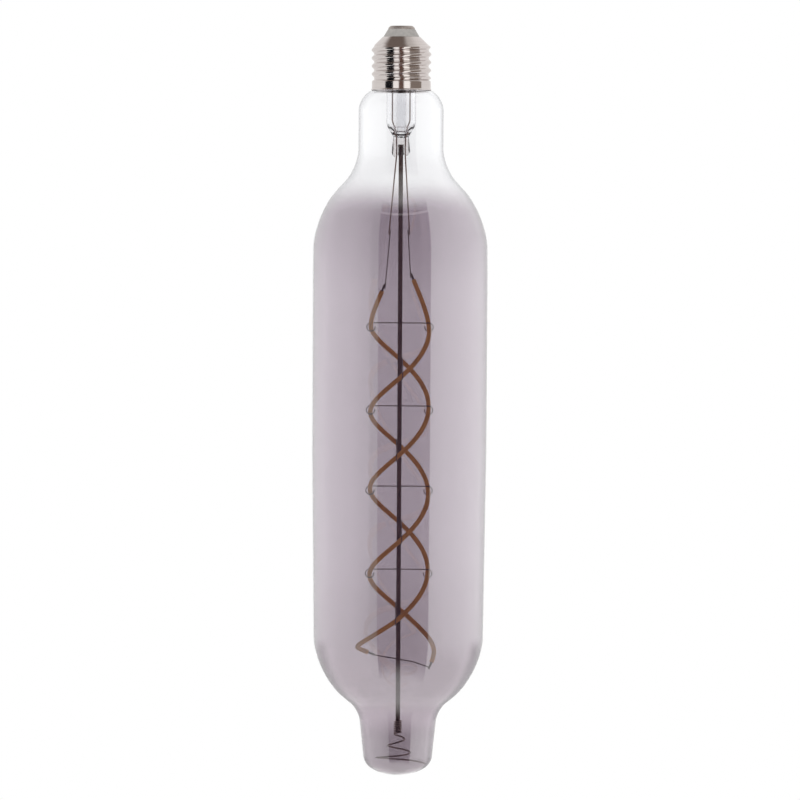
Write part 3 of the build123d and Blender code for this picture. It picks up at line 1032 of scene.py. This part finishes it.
# %% [markdown]
# ## What the metal shows
# The cap is small, and its shine is shaped by itself: upright cards in front of it, from black to
# bright, and a small dark card above its sloping shoulder. A reflection that is blurred by a rough
# surface can only come from metal, because the glass is polished. The Light Path node tells the two
# apart, and it keeps all of this from rays that no surface has mirrored.

# %% Cards for the metal, by bearing and overhead
metal_cards = [
    (-180, (0.85, 0.82, 0.80)),
    (-67, (0.0, 0.0, 0.002)),
    (-33, (1.15, 1.11, 1.08)),
    (-10.6, (0.135, 0.072, 0.055)),
    (8.6, (1.25, 1.20, 1.15)),
    (34.6, (0.25, 0.20, 0.17)),
    (84.8, (0.88, 0.84, 0.82)),
    (180, (0.85, 0.82, 0.80)),
]
top_cards = [
    (-180, (0.85, 0.82, 0.80)),
    (-95, (0.80, 0.76, 0.74)),
    (-57, (0.17, 0.13, 0.112)),
    (6, (0.17, 0.13, 0.112)),
    (34, (0.60, 0.56, 0.53)),
    (85, (0.85, 0.81, 0.78)),
    (180, (0.85, 0.82, 0.80)),
]
overhead = (38, 48)
upright_cards = world_ramp(bearing, metal_cards, "CONSTANT")
cards_above = world_ramp(wall_bearing, top_cards, "EASE")
shown = world_mix(world_step(climb, *overhead), upright_cards, cards_above)
print("cards for the metal", len(metal_cards) + len(top_cards))

# %% Which ray sees what
half_bounce = 0.5
path = tree.nodes.new("ShaderNodeLightPath")
in_shine = world_mix(path.outputs["Is Singular Ray"], shown, mirrored)
reflected = world_math("GREATER_THAN", path.outputs["Glossy Depth"], half_bounce)
undimmed = world_math("LESS_THAN", path.outputs["Diffuse Depth"], half_bounce)
room_colour = world_mix(world_math("MULTIPLY", reflected, undimmed), white, in_shine)
tree.links.new(room_colour, backdrop.inputs["Color"])
print("world of", len(tree.nodes), "nodes")

# %% [markdown]
# ## Camera
# The photograph was taken from far away, almost level with the middle of the bulb, so that its
# upright lines stay parallel. A long lens four metres off gives the same look. The bulb hangs a
# little out of plumb in the picture, and a small roll of the camera shows that without moving it.

# %% Camera
frame_height = 362.0 * MM
distance = 4.0
elevation = math.radians(1.0)
middle = Vector((0.2 * MM, 0, -169.2 * MM))
roll = math.radians(0.32)
sensor = 36.0
camera_data = bpy.data.cameras.new("camera")
camera_data.sensor_width = sensor
camera_data.lens = sensor * distance / frame_height
camera = bpy.data.objects.new("camera", camera_data)
bpy.context.scene.collection.objects.link(camera)
back = Vector((0, -math.cos(elevation), math.sin(elevation)))
camera.location = middle + back * distance
camera.rotation_mode = "QUATERNION"
upright_view = (-back).to_track_quat("-Z", "Y")
camera.rotation_quaternion = upright_view @ Matrix.Rotation(roll, 3, "Z").to_quaternion()
bpy.context.scene.camera = camera
bpy.context.scene.view_settings.view_transform = "Standard"
bpy.context.scene.cycles.use_denoising = True
print("camera lens", round(camera_data.lens, 1), "mm")

# %% [markdown]
# ## Size
# The dressed bulb has to fill the same box as the imported solids, or what was fitted to them wouldn't
# fit it. So its size is printed at the end, as the height of the solids was at the start.

# %% Print the size of the dressed bulb
low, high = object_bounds()
print("size", [round(v / MM, 2) for v in high - low])
